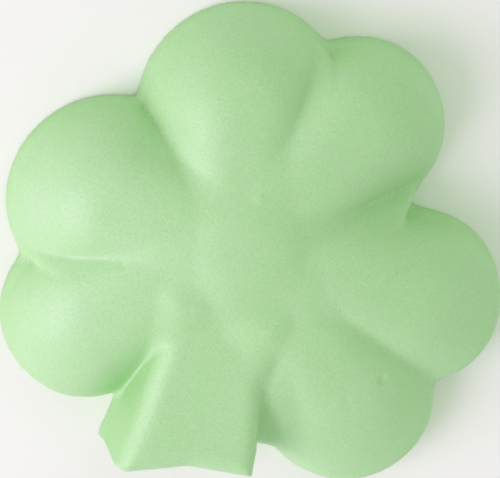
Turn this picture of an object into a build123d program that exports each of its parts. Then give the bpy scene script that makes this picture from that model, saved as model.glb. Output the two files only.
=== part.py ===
"""A moulded foam shamrock: three leaves of two rounded lobes each, a short flared stem,
a pillowed front and a flat back. A thin skin, made in two halves, covers a foam core."""
from build123d import *
from math import asin, cos, degrees
import os

os.makedirs("parts", exist_ok=True)

# Driving dimensions, in millimetres.
# X runs across the side leaves, +Y up the top leaf, +Z from the flat back to the front.
thickness = 21.75  # flat back to the ridges of the lobes, where they pass the hub
end_thickness = 18.5  # the ridge of a lobe falls to this height at its round end
skin = 1.0  # skin thickness on every face
wall_height = 7.0  # the side walls are upright to here, and the front starts with an edge
edge_slope_share = 0.4  # share of the front's quarter ellipse that is cut off below the wall's edge
ridge_half_width = 0.8  # half of the level strip along the ridge of a lobe
hub = (-1.2, -2.4)  # where the six lobes and the stem run together
root_overrun = 2.0  # each lobe runs this far past the hub, and its ridge climbs to 22 there

# Each lobe is a round end that runs back to the hub: centre x, centre y, radius.
lobes = {
    "left leaf, upper lobe": (-26.3, 1.4, 16.7),
    "left leaf, lower lobe": (-23.1, -17.6, 14.8),
    "top leaf, left lobe": (-10.7, 22.2, 16.8),
    "top leaf, right lobe": (8.6, 24.1, 14.9),
    "right leaf, upper lobe": (28.0, -0.7, 15.0),
    "right leaf, lower lobe": (22.8, -19.3, 15.0),
}

# The stem's sides run out of the leaves to two corners, with a hollowed end between them.
stem_root = -8.0  # y where the stem starts, inside the leaves
stem_root_left = -14.2
stem_root_right = 2.0
stem_root_height = 19.0  # height of the stem's front at its root
stem_left_corner = (-15.0, -40.6)
stem_right_corner = (8.6, -35.6)
stem_end_hollow = 1.4  # depth of the hollow in the stem's end
stem_end_height = 18.5  # the front of the stem falls to this height at its end
stem_edge_radius = 2.4  # rounding where the stem's front meets its walls
stem_corner_radius = 3.2  # rounding of its two upright corners


def lobe_form(x, y, radius, inset):
    """One pillowed lobe, a long dome with a round end, every face moved in by inset."""
    centre = Vector(x, y, 0)
    run = centre - Vector(*hub, 0)
    upright = Vector(0, 0, 1)
    section = Plane(origin=centre, x_dir=upright.cross(run), z_dir=run)
    fall = thickness - end_thickness
    to_hub = upright * fall - run
    half_width = radius - inset
    edge_height = wall_height - inset / 2  # the edge between wall and front moves in and down
    ridge_height = end_thickness - inset
    ellipse_height = (ridge_height - edge_height) / (1 - edge_slope_share)
    edge_angle = degrees(asin(edge_slope_share))
    ellipse_width = (half_width - ridge_half_width) / cos(asin(edge_slope_share))
    with BuildSketch(section) as half_section:
        with BuildLine():
            foot = Line((0, -fall), (half_width, -fall))
            Line(foot @ 1, (half_width, edge_height))
            front = EllipticalCenterArc(
                (ridge_half_width, ridge_height - ellipse_height),
                ellipse_width,
                ellipse_height,
                start_angle=edge_angle,
                arc_size=90 - edge_angle,
            )
            Polyline(front @ 1, (0, ridge_height), foot @ 0)
        make_face()
    with BuildPart() as form:
        revolve(half_section.sketch, axis=Axis(centre, -upright), revolution_arc=180)
        run_half = extrude(half_section.sketch, amount=to_hub.length + root_overrun, dir=to_hub)
        mirror(run_half, about=Plane(origin=centre, z_dir=section.x_dir))
        split(bisect_by=Plane.XY.offset(inset), keep=Keep.TOP)
    return form.part


def stem_form(inset):
    """The flared stem with its sloping front, every face moved in by about inset."""
    with BuildPart() as form:
        with BuildSketch(Plane.XY.offset(inset)) as plan:
            with BuildLine():
                left_side = Line((stem_root_left, stem_root), stem_left_corner)
                end = SagittaArc(left_side @ 1, stem_right_corner, stem_end_hollow)
                right_side = Line(end @ 1, (stem_root_right, stem_root))
                Line(right_side @ 1, left_side @ 0)
            make_face()
            corners = plan.vertices().sort_by(Axis.Y)[:2]
            fillet(corners, stem_corner_radius)
            if inset:
                offset(amount=-inset, kind=Kind.INTERSECTION, mode=Mode.REPLACE)
        extrude(amount=thickness)
        with BuildSketch(Plane.YZ):
            with BuildLine():
                front_root = (stem_root, stem_root_height - inset)
                front_end = (stem_left_corner[1], stem_end_height - inset)
                Polyline(front_root, front_end, (stem_left_corner[1], 0), (stem_root, 0), close=True)
            make_face()
        extrude(amount=thickness, both=True, mode=Mode.INTERSECT)
        front = form.faces().sort_by(Axis.Z)[-1]
        edges = front.edges().sort_by(Axis.Y)[:-1]
        fillet(edges, stem_edge_radius - inset)
    return form.part


def shamrock_form(inset):
    """The whole shamrock as one solid, every face moved in by inset."""
    forms = [lobe_form(x, y, radius, inset) for x, y, radius in lobes.values()]
    forms.append(stem_form(inset))
    with BuildPart() as whole:
        for form in forms:
            add(form)
    return whole.part


outer_form = shamrock_form(0)
inner_form = shamrock_form(skin)
seam = Plane.XY.offset(skin)  # the two halves of the skin meet at the edge of the back

# The core fills everything inside the skin.
with BuildPart() as foam_core:
    add(inner_form)
foam_core.part.label = "foam_core"
export_step(foam_core.part, "parts/foam_core.step")

# The front half of the skin covers the pillowed front and the side walls.
with BuildPart() as front_skin:
    add(outer_form)
    split(bisect_by=seam, keep=Keep.TOP)
    add(inner_form, mode=Mode.SUBTRACT)
front_skin.part.label = "front_skin"
export_step(front_skin.part, "parts/front_skin.step")

# The back half of the skin is the flat back that the shamrock lies on.
with BuildPart() as back_skin:
    add(outer_form)
    split(bisect_by=seam, keep=Keep.BOTTOM)
back_skin.part.label = "back_skin"
export_step(back_skin.part, "parts/back_skin.step")
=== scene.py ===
import math

import bmesh
import bpy
import numpy as np
from mathutils import Matrix, Vector


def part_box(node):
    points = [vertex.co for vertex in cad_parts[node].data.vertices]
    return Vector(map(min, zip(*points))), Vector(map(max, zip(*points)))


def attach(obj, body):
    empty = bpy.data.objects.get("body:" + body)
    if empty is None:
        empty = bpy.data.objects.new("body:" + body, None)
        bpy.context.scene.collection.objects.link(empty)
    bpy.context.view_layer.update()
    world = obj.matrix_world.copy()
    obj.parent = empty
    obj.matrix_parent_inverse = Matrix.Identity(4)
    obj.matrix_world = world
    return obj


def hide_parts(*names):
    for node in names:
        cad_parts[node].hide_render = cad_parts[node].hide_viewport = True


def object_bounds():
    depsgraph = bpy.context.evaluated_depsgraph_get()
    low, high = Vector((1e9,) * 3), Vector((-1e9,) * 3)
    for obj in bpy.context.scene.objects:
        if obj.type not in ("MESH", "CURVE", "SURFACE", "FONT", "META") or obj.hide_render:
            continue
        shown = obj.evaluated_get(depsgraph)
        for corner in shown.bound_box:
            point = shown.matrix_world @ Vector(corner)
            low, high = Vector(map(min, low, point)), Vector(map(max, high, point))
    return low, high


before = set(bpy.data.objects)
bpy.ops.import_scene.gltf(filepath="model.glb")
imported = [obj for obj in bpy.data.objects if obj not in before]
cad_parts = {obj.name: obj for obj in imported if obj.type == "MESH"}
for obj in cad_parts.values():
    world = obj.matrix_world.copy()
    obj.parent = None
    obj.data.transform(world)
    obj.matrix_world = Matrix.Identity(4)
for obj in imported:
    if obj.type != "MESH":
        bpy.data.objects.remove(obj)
cad_low, cad_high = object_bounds()

# ---------------------------------------------------------------------------
# Sizes in millimetres, in the frame of the CAD model. The model's width gives
# the unit that all of them scale with, and its core gives the skin's thickness.
# ---------------------------------------------------------------------------
MM = 0.001
WIDTH = (cad_high.x - cad_low.x) / MM
NOMINAL_WIDTH = 86.0  # the sizes below are for a shamrock this wide
UNIT = WIDTH / NOMINAL_WIDTH
SKIN = (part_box("foam_core")[0].z - cad_low.z) / MM

HUB = np.array([-1.8, -1.2]) * UNIT  # where the lobes run together, at the back
HUB_RADIUS = 15.6 * UNIT
CROWN = 21.4 * UNIT  # height of the front at the hub
CROWN_CURVE = 120.0 * UNIT  # radius of the front's slow fall away from the hub
CROWN_SOFTNESS = 5.0 * UNIT  # the creases' fills are levelled off at the crown
FRONT_SHARE = 0.8  # a height above the front counts as this much distance
EDGE_HEIGHT = 7.2 * UNIT  # the side wall is this high, and the front rises inwards from it
CROWN_SHIFT = 6.8 * UNIT  # at the hub the front sits this much off the middle of the outline
CROWN_TOWARDS = np.array([-0.766, 0.643])  # a unit vector in the direction of that shift
SHIFT_REACH = 43.0 * UNIT  # the shift fades out to nothing at this distance from the middle
FRONT_RADIUS = 15.4 * UNIT  # radius of the lobes' round ends on the front
ARCH = 0.10  # share of its height that the front loses from a lobe's middle line to its side
ARCH_REACH = 1.5  # the loss stops growing this many front radii off the middle line
RISE = 13.5 * UNIT  # the front has risen to its crown this far in from the side wall
RISE_FULLNESS = 2.2  # more rises faster at the edge
FALL = 1.5  # slope of a lobe's front past its own edge, where another lobe covers it
WALL_LEAN = 0.10  # the side wall moves in this much for each unit of height
EDGE_SOFTNESS = 2.2 * UNIT  # rounding of the edge between wall and front
BACK_EDGE = 0.5 * UNIT  # rounding where the wall meets the back
CREASE_SOFTNESS = 1.1 * UNIT  # rounding of the creases between the lobes
CREASE_FADE = 6.0 * UNIT  # softness that the creases gain on their way to the hub
CREASE_REACH = 22.0 * UNIT  # distance from the hub where the gain starts
WEB_HEIGHT = 4.0 * UNIT  # a thin web rounds out the notches at the back
WEB_SOFTNESS = 2.4 * UNIT  # how far into a notch it reaches

# A lobe is a round end that runs back to the hub: centre x, centre y, radius.
LOBES = np.array([
    (-26.3, 1.4, 16.7),
    (-23.1, -17.6, 14.8),
    (-10.7, 22.2, 16.8),
    (8.6, 24.1, 14.9),
    (28.0, -0.7, 15.0),
    (22.8, -19.3, 15.0),
]) * UNIT

# The stem's outline, anticlockwise from the left side's root.
STEM = np.array([
    (-14.4, -8.0),
    (-14.0, -28.0),
    (-14.6, -38.0),
    (-12.4, -38.7),
    (-2.7, -34.9),
    (8.4, -33.9),
    (7.6, -29.0),
    (5.4, -21.5),
    (2.0, -8.0),
]) * UNIT
STEM_LEAN = 0.01  # the stem's wall moves in this much for each unit of height

# A gusset fills the corner between the stem and the right leaf. It climbs towards the hub
# from its height at the outline up to its top.
GUSSET = np.array([
    (4.0, -31.9),
    (10.6, -30.9),
    (14.0, -29.6),
    (11.5, -23.5),
    (6.5, -16.5),
    (3.0, -15.0),
]) * UNIT
GUSSET_HEIGHT = 7.0 * UNIT
GUSSET_CLIMB = 0.9  # it rises this much for each unit of length
GUSSET_TOP = 16.2 * UNIT
GUSSET_SOFTNESS = 3.0 * UNIT  # rounding where it meets the leaves, and of the bend at its top

STEM_ROOT_HEIGHT = 18.5 * UNIT
STEM_END_HEIGHT = 18.6 * UNIT
STEM_EDGE = 3.6 * UNIT  # rounding of the edge between the stem's front and its wall
STEM_SOFTNESS = 1.2 * UNIT  # rounding of the crease between the stem and the leaves
STEM_FADE = 8.0 * UNIT  # softness that the stem's edges gain on their way to the hub
STEM_REACH = 26.0 * UNIT  # distance from the hub where that gain starts
STEM_SINK = 10.0 * UNIT  # past its root the stem's front sinks into the leaves

# Small flaws in the front: x, y, how far they reach, and how much they stand out.
FLAWS = np.array([
    (23.9, -12.3, 0.6, -0.5),
    (-7.8, 12.3, 0.7, 0.25),
    (1.7, -9.2, 0.8, 0.22),
    (-24.6, -4.9, 0.6, -0.2),
]) * UNIT


def smooth_min(a, b, k):
    """The smaller of two distances, blended over k where they are nearly equal."""
    h = np.clip(0.5 + 0.5 * (b - a) / k, 0.0, 1.0)
    return b + (a - b) * h - k * h * (1.0 - h)


def smooth_max(a, b, k):
    """The larger of two distances, blended over k where they are nearly equal."""
    return -smooth_min(-a, -b, k)


def polygon_distance(x, y, points):
    """Signed distance to a polygon, negative inside."""
    distance = np.full(x.shape, np.inf)
    inside = np.zeros(x.shape, bool)
    for (ax, ay), (bx, by) in zip(points, np.roll(points, -1, axis=0)):
        ex, ey = bx - ax, by - ay
        t = np.clip(((x - ax) * ex + (y - ay) * ey) / (ex * ex + ey * ey), 0.0, 1.0)
        distance = np.minimum(distance, np.hypot(x - ax - t * ex, y - ay - t * ey))
        crosses = (ay > y) != (by > y)
        if ay != by:
            inside ^= crosses & (x < (bx - ax) * (y - ay) / (by - ay) + ax)
    return np.where(inside, -distance, distance)


def lobe_plan(x, y, cx, cy, radius):
    """Distance from a lobe's outline, negative inside, and distance off its middle line."""
    sx, sy = cx - HUB[0], cy - HUB[1]
    along = np.clip(((x - HUB[0]) * sx + (y - HUB[1]) * sy) / (sx * sx + sy * sy), 0.0, 1.0)
    off_spine = np.hypot(x - HUB[0] - along * sx, y - HUB[1] - along * sy)
    off_line = np.abs((x - HUB[0]) * sy - (y - HUB[1]) * sx) / math.hypot(sx, sy)
    return off_spine - (HUB_RADIUS + along * (radius - HUB_RADIUS)), off_line


def lobe_front(outline, off_line, crown):
    """Height of a lobe's front, arched across its middle line and rounded down at its outline."""
    inwards = -outline - WALL_LEAN * EDGE_HEIGHT
    arch = 1.0 - ARCH * np.clip(off_line / FRONT_RADIUS, 0.0, ARCH_REACH) ** 2
    rise = 1.0 - (1.0 - np.clip(inwards / RISE, 0.0, 1.0)) ** RISE_FULLNESS
    return EDGE_HEIGHT + (crown - EDGE_HEIGHT) * arch * rise + FALL * np.minimum(inwards, 0.0)


def body_distance(p):
    """Signed distance to the shamrock's front and side walls, which run on below the back."""
    x, y, z = p[:, 0], p[:, 1], p[:, 2]
    hub_x, hub_y = HUB + CROWN_SHIFT * CROWN_TOWARDS
    from_hub = np.hypot(x - hub_x, y - hub_y)
    crease = CREASE_SOFTNESS + CREASE_FADE * np.clip(1.0 - from_hub / CREASE_REACH, 0.0, 1.0)
    stem_crease = STEM_SOFTNESS + STEM_FADE * np.clip(1.0 - from_hub / STEM_REACH, 0.0, 1.0)
    crown = CROWN - from_hub ** 2 / (2.0 * CROWN_CURVE)
    stem_plan = polygon_distance(x, y, STEM)
    shift = CROWN_SHIFT * np.clip(1.0 - (x * x + y * y) / SHIFT_REACH ** 2, 0.0, 1.0)
    front_x, front_y = x - shift * CROWN_TOWARDS[0], y - shift * CROWN_TOWARDS[1]
    front, leaves, web = None, None, stem_plan
    for cx, cy, radius in LOBES:
        outline = lobe_plan(x, y, cx, cy, radius)[0]
        height = lobe_front(*lobe_plan(front_x, front_y, cx, cy, FRONT_RADIUS), crown)
        front = height if front is None else smooth_max(front, height, crease)
        leaves = outline if leaves is None else np.minimum(leaves, outline)
        web = smooth_min(web, outline, WEB_SOFTNESS)
    front = smooth_min(front, crown, CROWN_SOFTNESS)
    for flaw_x, flaw_y, reach, amount in FLAWS:
        front = front + amount * np.exp(-((x - flaw_x) ** 2 + (y - flaw_y) ** 2) / reach ** 2)
    form = smooth_max(leaves + WALL_LEAN * z, FRONT_SHARE * (z - front), EDGE_SOFTNESS)

    along_stem = (STEM[0, 1] - y) / (STEM[0, 1] - STEM[3, 1])
    stem_top = STEM_ROOT_HEIGHT + (STEM_END_HEIGHT - STEM_ROOT_HEIGHT) * along_stem
    stem_top = stem_top - STEM_SINK * np.maximum(-along_stem, 0.0)
    stem = smooth_max(stem_plan + STEM_LEAN * z, z - stem_top, STEM_EDGE)
    gusset_top = GUSSET_HEIGHT + GUSSET_CLIMB * (y - GUSSET[1, 1])
    gusset_top = smooth_min(gusset_top, GUSSET_TOP, GUSSET_SOFTNESS)
    gusset = smooth_max(polygon_distance(x, y, GUSSET), FRONT_SHARE * (z - gusset_top), EDGE_SOFTNESS)
    form = smooth_min(form, gusset, GUSSET_SOFTNESS)
    form = smooth_min(form, stem, stem_crease)
    web = smooth_max(web + WALL_LEAN * z, z - WEB_HEIGHT, EDGE_SOFTNESS)
    return smooth_min(form, web, CREASE_SOFTNESS)


def outer_distance(p):
    """Signed distance to the whole shamrock, whose back is at z = 0."""
    return smooth_max(body_distance(p), -p[:, 2], BACK_EDGE)


def inner_distance(p):
    """Signed distance to the inside of the skin, run on below the seam so that it can be cut there."""
    return np.maximum(body_distance(p) + SKIN, SKIN - 2 * CELL - p[:, 2])


# ---------------------------------------------------------------------------
# Meshing: the zero surface of a signed distance becomes even quads.
# ---------------------------------------------------------------------------
CELL = 0.55 * UNIT  # about the side of one quad
MARGIN = 2.5 * CELL  # the grid reaches this far past the model's box
SLOPE_STEP = 0.02 * UNIT  # gradients are taken over twice this length
LEAST_SLOPE = 0.05  # keeps the moves finite where a squared gradient vanishes
LONGEST_MOVE = 0.5 * CELL
TINY = 1e-9  # keeps a division by a length of nothing finite
SETTLE_ROUNDS = 3
SPREAD_ROUNDS = 6


def zero_surface(distance):
    """Points and outward quads of the surface where distance is zero, over the whole model's box."""
    axes = [
        np.arange(low / MM - MARGIN, high / MM + MARGIN, CELL)
        for low, high in zip(cad_low, cad_high)
    ]
    shape = tuple(len(axis) for axis in axes)
    points = np.stack(np.meshgrid(*axes, indexing="ij"), axis=-1).reshape(-1, 3)
    inside = (distance(points) < 0).reshape(shape)
    corners = [
        inside[i:shape[0] - 1 + i, j:shape[1] - 1 + j, k:shape[2] - 1 + k].astype(np.int8)
        for i in (0, 1) for j in (0, 1) for k in (0, 1)
    ]
    count = sum(corners)
    mixed = (count > 0) & (count < 8)
    number = np.full(mixed.shape, -1)
    number[mixed] = np.arange(mixed.sum())
    cells = np.argwhere(mixed)
    vertices = np.stack([axes[a][cells[:, a]] + CELL / 2 for a in range(3)], axis=1)
    quads = []
    for a in range(3):
        b, c = (a + 1) % 3, (a + 2) % 3
        here = np.moveaxis(inside, (a, b, c), (0, 1, 2))
        cell = np.moveaxis(number, (a, b, c), (0, 1, 2))
        first, second = here[:-1, 1:-1, 1:-1], here[1:, 1:-1, 1:-1]
        for leaving in (True, False):
            i, j, k = np.nonzero((first & ~second) if leaving else (~first & second))
            ring = [cell[i, j, k], cell[i, j + 1, k], cell[i, j + 1, k + 1], cell[i, j, k + 1]]
            quads.append(np.stack(ring if leaving else ring[::-1], axis=1))
    return vertices, np.concatenate(quads)


def slope_of(distance, points):
    """Gradient of a distance at the points."""
    return np.stack([
        (distance(points + step) - distance(points - step)) / (2 * SLOPE_STEP)
        for step in SLOPE_STEP * np.eye(3)
    ], axis=1)


def settle(distance, points, rounds):
    """Moves the points onto the zero surface."""
    for _ in range(rounds):
        slope = slope_of(distance, points)
        value = distance(points)
        move = slope * (value / np.maximum((slope ** 2).sum(1), LEAST_SLOPE))[:, None]
        length = np.linalg.norm(move, axis=1, keepdims=True)
        points = points - move * np.minimum(1.0, LONGEST_MOVE / np.maximum(length, TINY))
    return points


def spread_evenly(points, quads):
    """Moves each point halfway to the middle of its neighbours."""
    total = np.zeros_like(points)
    count = np.zeros(len(points))
    for a in range(4):
        start, end = quads[:, a], quads[:, (a + 1) % 4]
        for axis in range(3):
            total[:, axis] += np.bincount(start, points[end, axis], len(points))
        count += np.bincount(start, minlength=len(points))
    return 0.5 * points + 0.5 * total / np.maximum(count, 1)[:, None]


def surface_mesh(distance):
    """Even points and quads that lie on the zero surface."""
    points, quads = zero_surface(distance)
    points = settle(distance, points, SETTLE_ROUNDS)
    for _ in range(SPREAD_ROUNDS):
        points = settle(distance, spread_evenly(points, quads), 1)
    return settle(distance, points, SETTLE_ROUNDS), quads


# ---------------------------------------------------------------------------
# Pieces: the two halves of the skin meet at the seam, and the core is inside.
# ---------------------------------------------------------------------------
SHARP_ANGLE = math.radians(40)  # steeper edges than this are shaded as sharp ones
CUT_TOLERANCE = 1e-7  # metres


def cut_surface(points, quads, above):
    """The part of a closed surface above or below the seam, open at the cut, in metres."""
    mesh = bmesh.new()
    corners = [mesh.verts.new(p * MM) for p in points]
    for quad in quads:
        mesh.faces.new([corners[i] for i in quad])
    bmesh.ops.bisect_plane(
        mesh,
        geom=mesh.verts[:] + mesh.edges[:] + mesh.faces[:],
        dist=CUT_TOLERANCE,
        plane_co=(0, 0, SKIN * MM),
        plane_no=(0, 0, 1),
        clear_inner=above,
        clear_outer=not above,
    )
    return mesh


def finished_piece(name, mesh):
    """Closes the flat cut at the seam and makes an object that rides on the root body."""
    rim = [edge for edge in mesh.edges if edge.is_boundary]
    bmesh.ops.triangle_fill(mesh, use_beauty=True, edges=rim)
    bmesh.ops.recalc_face_normals(mesh, faces=mesh.faces[:])
    for face in mesh.faces:
        face.smooth = True
    for edge in mesh.edges:
        if edge.is_manifold and edge.calc_face_angle() > SHARP_ANGLE:
            edge.smooth = False
    data = bpy.data.meshes.new(name)
    mesh.to_mesh(data)
    mesh.free()
    piece = bpy.data.objects.new(name, data)
    bpy.context.scene.collection.objects.link(piece)
    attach(piece, "root")
    return piece


def make_front(outer, inner):
    """The half of the skin over the front and the side walls, hollow behind."""
    mesh = cut_surface(*outer, above=True)
    lining = cut_surface(*inner, above=True)
    lining_data = bpy.data.meshes.new("lining")
    lining.to_mesh(lining_data)
    lining.free()
    mesh.from_mesh(lining_data)
    bpy.data.meshes.remove(lining_data)
    return finished_piece("shamrock_front_skin", mesh)


outer = surface_mesh(outer_distance)
inner = surface_mesh(inner_distance)
front = make_front(outer, inner)
back = finished_piece("shamrock_back_skin", cut_surface(*outer, above=False))
core = finished_piece("shamrock_foam_core", cut_surface(*inner, above=True))
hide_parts("front_skin")
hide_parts("back_skin")
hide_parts("foam_core")


# ---------------------------------------------------------------------------
# Materials
# ---------------------------------------------------------------------------
CLOUDS = 70.0  # per metre, like the next one
SPECKS = 2600.0
PAINTED_SHADE_STEEPNESS = 0.55  # painted shade: faces whose normal points up by less than this get a deeper tone
PAINTED_SHADE_WALL_TONE = 0.45  # the tones are places on the way from the deep shade to the pale one; upright walls get the lower one as painted shade
UNSHADED_FLAT_TONE = 0.75
PORE_RADII = (0.04, 0.22)  # a pore's floor and its rim, as shares of the pores' distance
PEBBLE_RANGE = (0.3, 0.7)  # the grain's noise stays mostly inside this range
PATCHINESS = 0.07  # how far the roughness goes up and down with the grain
BUMP = 0.6


def node(tree, kind, **inputs):
    """A shader node with its named inputs set or linked."""
    made = tree.nodes.new(kind)
    for name, value in inputs.items():
        socket = made.inputs[name.replace("_", " ")]
        if isinstance(value, bpy.types.NodeSocket):
            tree.links.new(value, socket)
        else:
            socket.default_value = value
    return made


def noise(tree, place, scale, detail, roughness):
    """Noise with about as many features per metre as its scale says."""
    made = node(
        tree, "ShaderNodeTexNoise", Vector=place, Scale=scale, Detail=detail, Roughness=roughness
    )
    return made.outputs["Fac"]


def multiply_add(tree, value, factor, offset):
    """The value times a constant factor plus an offset."""
    made = tree.nodes.new("ShaderNodeMath")
    made.operation = "MULTIPLY_ADD"
    tree.links.new(value, made.inputs[0])
    made.inputs[1].default_value = factor
    if isinstance(offset, bpy.types.NodeSocket):
        tree.links.new(offset, made.inputs[2])
    else:
        made.inputs[2].default_value = offset
    return made.outputs[0]


def ranged(tree, value, from_min, from_max, to_min, to_max):
    """The value carried over from one range to another, and held inside it."""
    made = node(
        tree, "ShaderNodeMapRange", Value=value,
        From_Min=from_min, From_Max=from_max, To_Min=to_min, To_Max=to_max,
    )
    return made.outputs["Result"]


def foam_material(name, shade_and_mottle_colours, clouding, speckling, grain, pores, roughness):
    """Moulded foam: cloudy, speckled colour with painted shade that deepens it on steep sides, fine
    grain and shallow pores.

    The two colours go from deep to pale: the deep one is painted shade on steep sides as well as the
    dark end of the mottling; clouding and speckling are the shares of that range that they use.
    grain and pores are each a feature size and a depth in millimetres.
    """
    material = bpy.data.materials.new(name)
    material.use_nodes = True
    tree = material.node_tree
    shader = tree.nodes["Principled BSDF"]
    place = node(tree, "ShaderNodeTexCoord").outputs["Object"]

    normal = node(tree, "ShaderNodeNewGeometry").outputs["Normal"]
    upwards = node(tree, "ShaderNodeSeparateXYZ", Vector=normal).outputs["Z"]
    clouds = noise(tree, place, CLOUDS, detail=3.0, roughness=0.55)
    specks = noise(tree, place, SPECKS, detail=2.0, roughness=0.7)
    # Painted shade: the colour deepens as the surface turns from facing up to upright, standing in for
    # the shade on steep sides; clouds and specks then add random mottling
    painted_shade_and_mottle = ranged(tree, upwards, 0.0, PAINTED_SHADE_STEEPNESS, PAINTED_SHADE_WALL_TONE, UNSHADED_FLAT_TONE)
    painted_shade_and_mottle = multiply_add(tree, clouds, clouding, painted_shade_and_mottle)
    painted_shade_and_mottle = multiply_add(tree, specks, speckling, painted_shade_and_mottle)
    painted_shade_and_mottle = multiply_add(tree, painted_shade_and_mottle, 1.0, -0.5 * (clouding + speckling))
    ramp = tree.nodes.new("ShaderNodeValToRGB")
    for element, shade in zip(ramp.color_ramp.elements, shade_and_mottle_colours):
        element.color = (*shade, 1)
    tree.links.new(painted_shade_and_mottle, ramp.inputs["Fac"])
    tree.links.new(ramp.outputs["Color"], shader.inputs["Base Color"])

    grain_size, grain_depth = grain
    pore_size, pore_depth = pores
    pebbles = noise(tree, place, 1.0 / (grain_size * MM), detail=3.0, roughness=0.6)
    cells = node(tree, "ShaderNodeTexVoronoi", Vector=place, Scale=1.0 / (pore_size * MM))
    pits = ranged(tree, cells.outputs["Distance"], *PORE_RADII, 0.0, 1.0)
    fine = node(tree, "ShaderNodeBump", Strength=BUMP, Distance=grain_depth * MM, Height=pebbles)
    both = node(
        tree, "ShaderNodeBump", Strength=BUMP, Distance=pore_depth * MM, Height=pits,
        Normal=fine.outputs["Normal"],
    )
    tree.links.new(both.outputs["Normal"], shader.inputs["Normal"])
    patchy = ranged(tree, pebbles, *PEBBLE_RANGE, roughness - PATCHINESS, roughness + PATCHINESS)
    tree.links.new(patchy, shader.inputs["Roughness"])
    return material, shader


# The deep colour is painted shade for steep sides, and also the dark end of the random mottling
skin_material, skin_shader = foam_material(
    "satin_foam_skin",
    shade_and_mottle_colours=((0.31, 0.67, 0.20), (0.51, 0.765, 0.465)),
    clouding=0.35,
    speckling=1.3,
    grain=(0.3, 0.08),
    pores=(3.5, 0.05),
    roughness=0.52,
)
skin_shader.inputs["Specular IOR Level"].default_value = 0.75
skin_shader.inputs["Subsurface Weight"].default_value = 0.5
skin_shader.inputs["Subsurface Radius"].default_value = (0.5, 1.0, 0.4)
skin_shader.inputs["Subsurface Scale"].default_value = 0.7 * MM

# Here too the deep colour is painted shade for steep sides, and also the dark end of the random mottling
core_material, core_shader = foam_material(
    "foam_inside",
    shade_and_mottle_colours=((0.36, 0.64, 0.28), (0.52, 0.78, 0.45)),
    clouding=0.4,
    speckling=0.8,
    grain=(0.6, 0.2),
    pores=(0.9, 0.3),
    roughness=0.85,
)
core_shader.inputs["Specular IOR Level"].default_value = 0.3
for skin_half in (front, back):
    skin_half.data.materials.append(skin_material)
core.data.materials.append(core_material)


# ---------------------------------------------------------------------------
# Camera, lights and floor
# ---------------------------------------------------------------------------
LEAN_TOWARDS = math.radians(122)  # the camera leans towards the picture's upper left
LEAN = math.radians(20)
TURN = math.radians(18)  # the top leaf points this far clockwise from straight up
DISTANCE = 0.55  # metres
AIM = Vector((-1.3, 0.85, 0.0)) * UNIT * MM
SENSOR_WIDTH = 36.0  # millimetres
FRAME_FILL = 1.0426  # a length as wide as the object, seen head-on, is this share of the picture's width
NEAREST_SEEN = 0.01  # metres

lean_axis = Vector((-math.sin(LEAN_TOWARDS), math.cos(LEAN_TOWARDS), 0))
picture = Matrix.Rotation(TURN, 3, "Z") @ Matrix.Rotation(LEAN, 3, lean_axis)
camera_data = bpy.data.cameras.new("camera")
camera = bpy.data.objects.new("camera", camera_data)
bpy.context.scene.collection.objects.link(camera)
camera.matrix_world = Matrix.Translation(AIM + picture @ Vector((0, 0, DISTANCE))) @ picture.to_4x4()
camera_data.sensor_width = SENSOR_WIDTH
camera_data.lens = SENSOR_WIDTH * DISTANCE / (WIDTH * MM) * FRAME_FILL
camera_data.clip_start = NEAREST_SEEN
bpy.context.scene.camera = camera


def soft_light(name, place, size, power, colour):
    """A square soft light facing the object.

    place is how far right, up and towards the camera it is, in metres along the picture's axes.
    """
    data = bpy.data.lights.new(name, "AREA")
    data.size = size
    data.energy = power
    data.color = colour
    light = bpy.data.objects.new(name, data)
    bpy.context.scene.collection.objects.link(light)
    light.location = picture @ Vector(place)
    light.rotation_mode = "QUATERNION"
    light.rotation_quaternion = light.location.to_track_quat("Z", "Y")


soft_light("key", place=(-0.54, -0.32, 0.48), size=0.50, power=4.35, colour=(0.96, 0.72, 1.0))
soft_light("fill", place=(0.40, 0.35, 0.60), size=0.60, power=0.5, colour=(0.9, 1.0, 0.82))

world = bpy.data.worlds.new("studio")
world.use_nodes = True
background = world.node_tree.nodes["Background"]
background.inputs["Color"].default_value = (0.91, 1.0, 0.84, 1.0)
background.inputs["Strength"].default_value = 0.65
bpy.context.scene.world = world
bpy.context.scene.view_settings.view_transform = "Standard"

FLOOR_HALF_SIZE = 1.5  # metres, like the gap
FLOOR_GAP = 0.00002  # keeps the floor from lying in the same plane as the back
floor_mesh = bmesh.new()
bmesh.ops.create_grid(floor_mesh, x_segments=1, y_segments=1, size=FLOOR_HALF_SIZE)
floor_data = bpy.data.meshes.new("floor")
floor_mesh.to_mesh(floor_data)
floor_mesh.free()
floor = bpy.data.objects.new("floor", floor_data)
bpy.context.scene.collection.objects.link(floor)
floor.location.z = cad_low.z - FLOOR_GAP
floor_material = bpy.data.materials.new("pale_floor")
floor_material.use_nodes = True
floor_shader = floor_material.node_tree.nodes["Principled BSDF"]
floor_shader.inputs["Base Color"].default_value = (0.93, 0.93, 0.93, 1)
floor_shader.inputs["Roughness"].default_value = 0.9
floor_data.materials.append(floor_material)
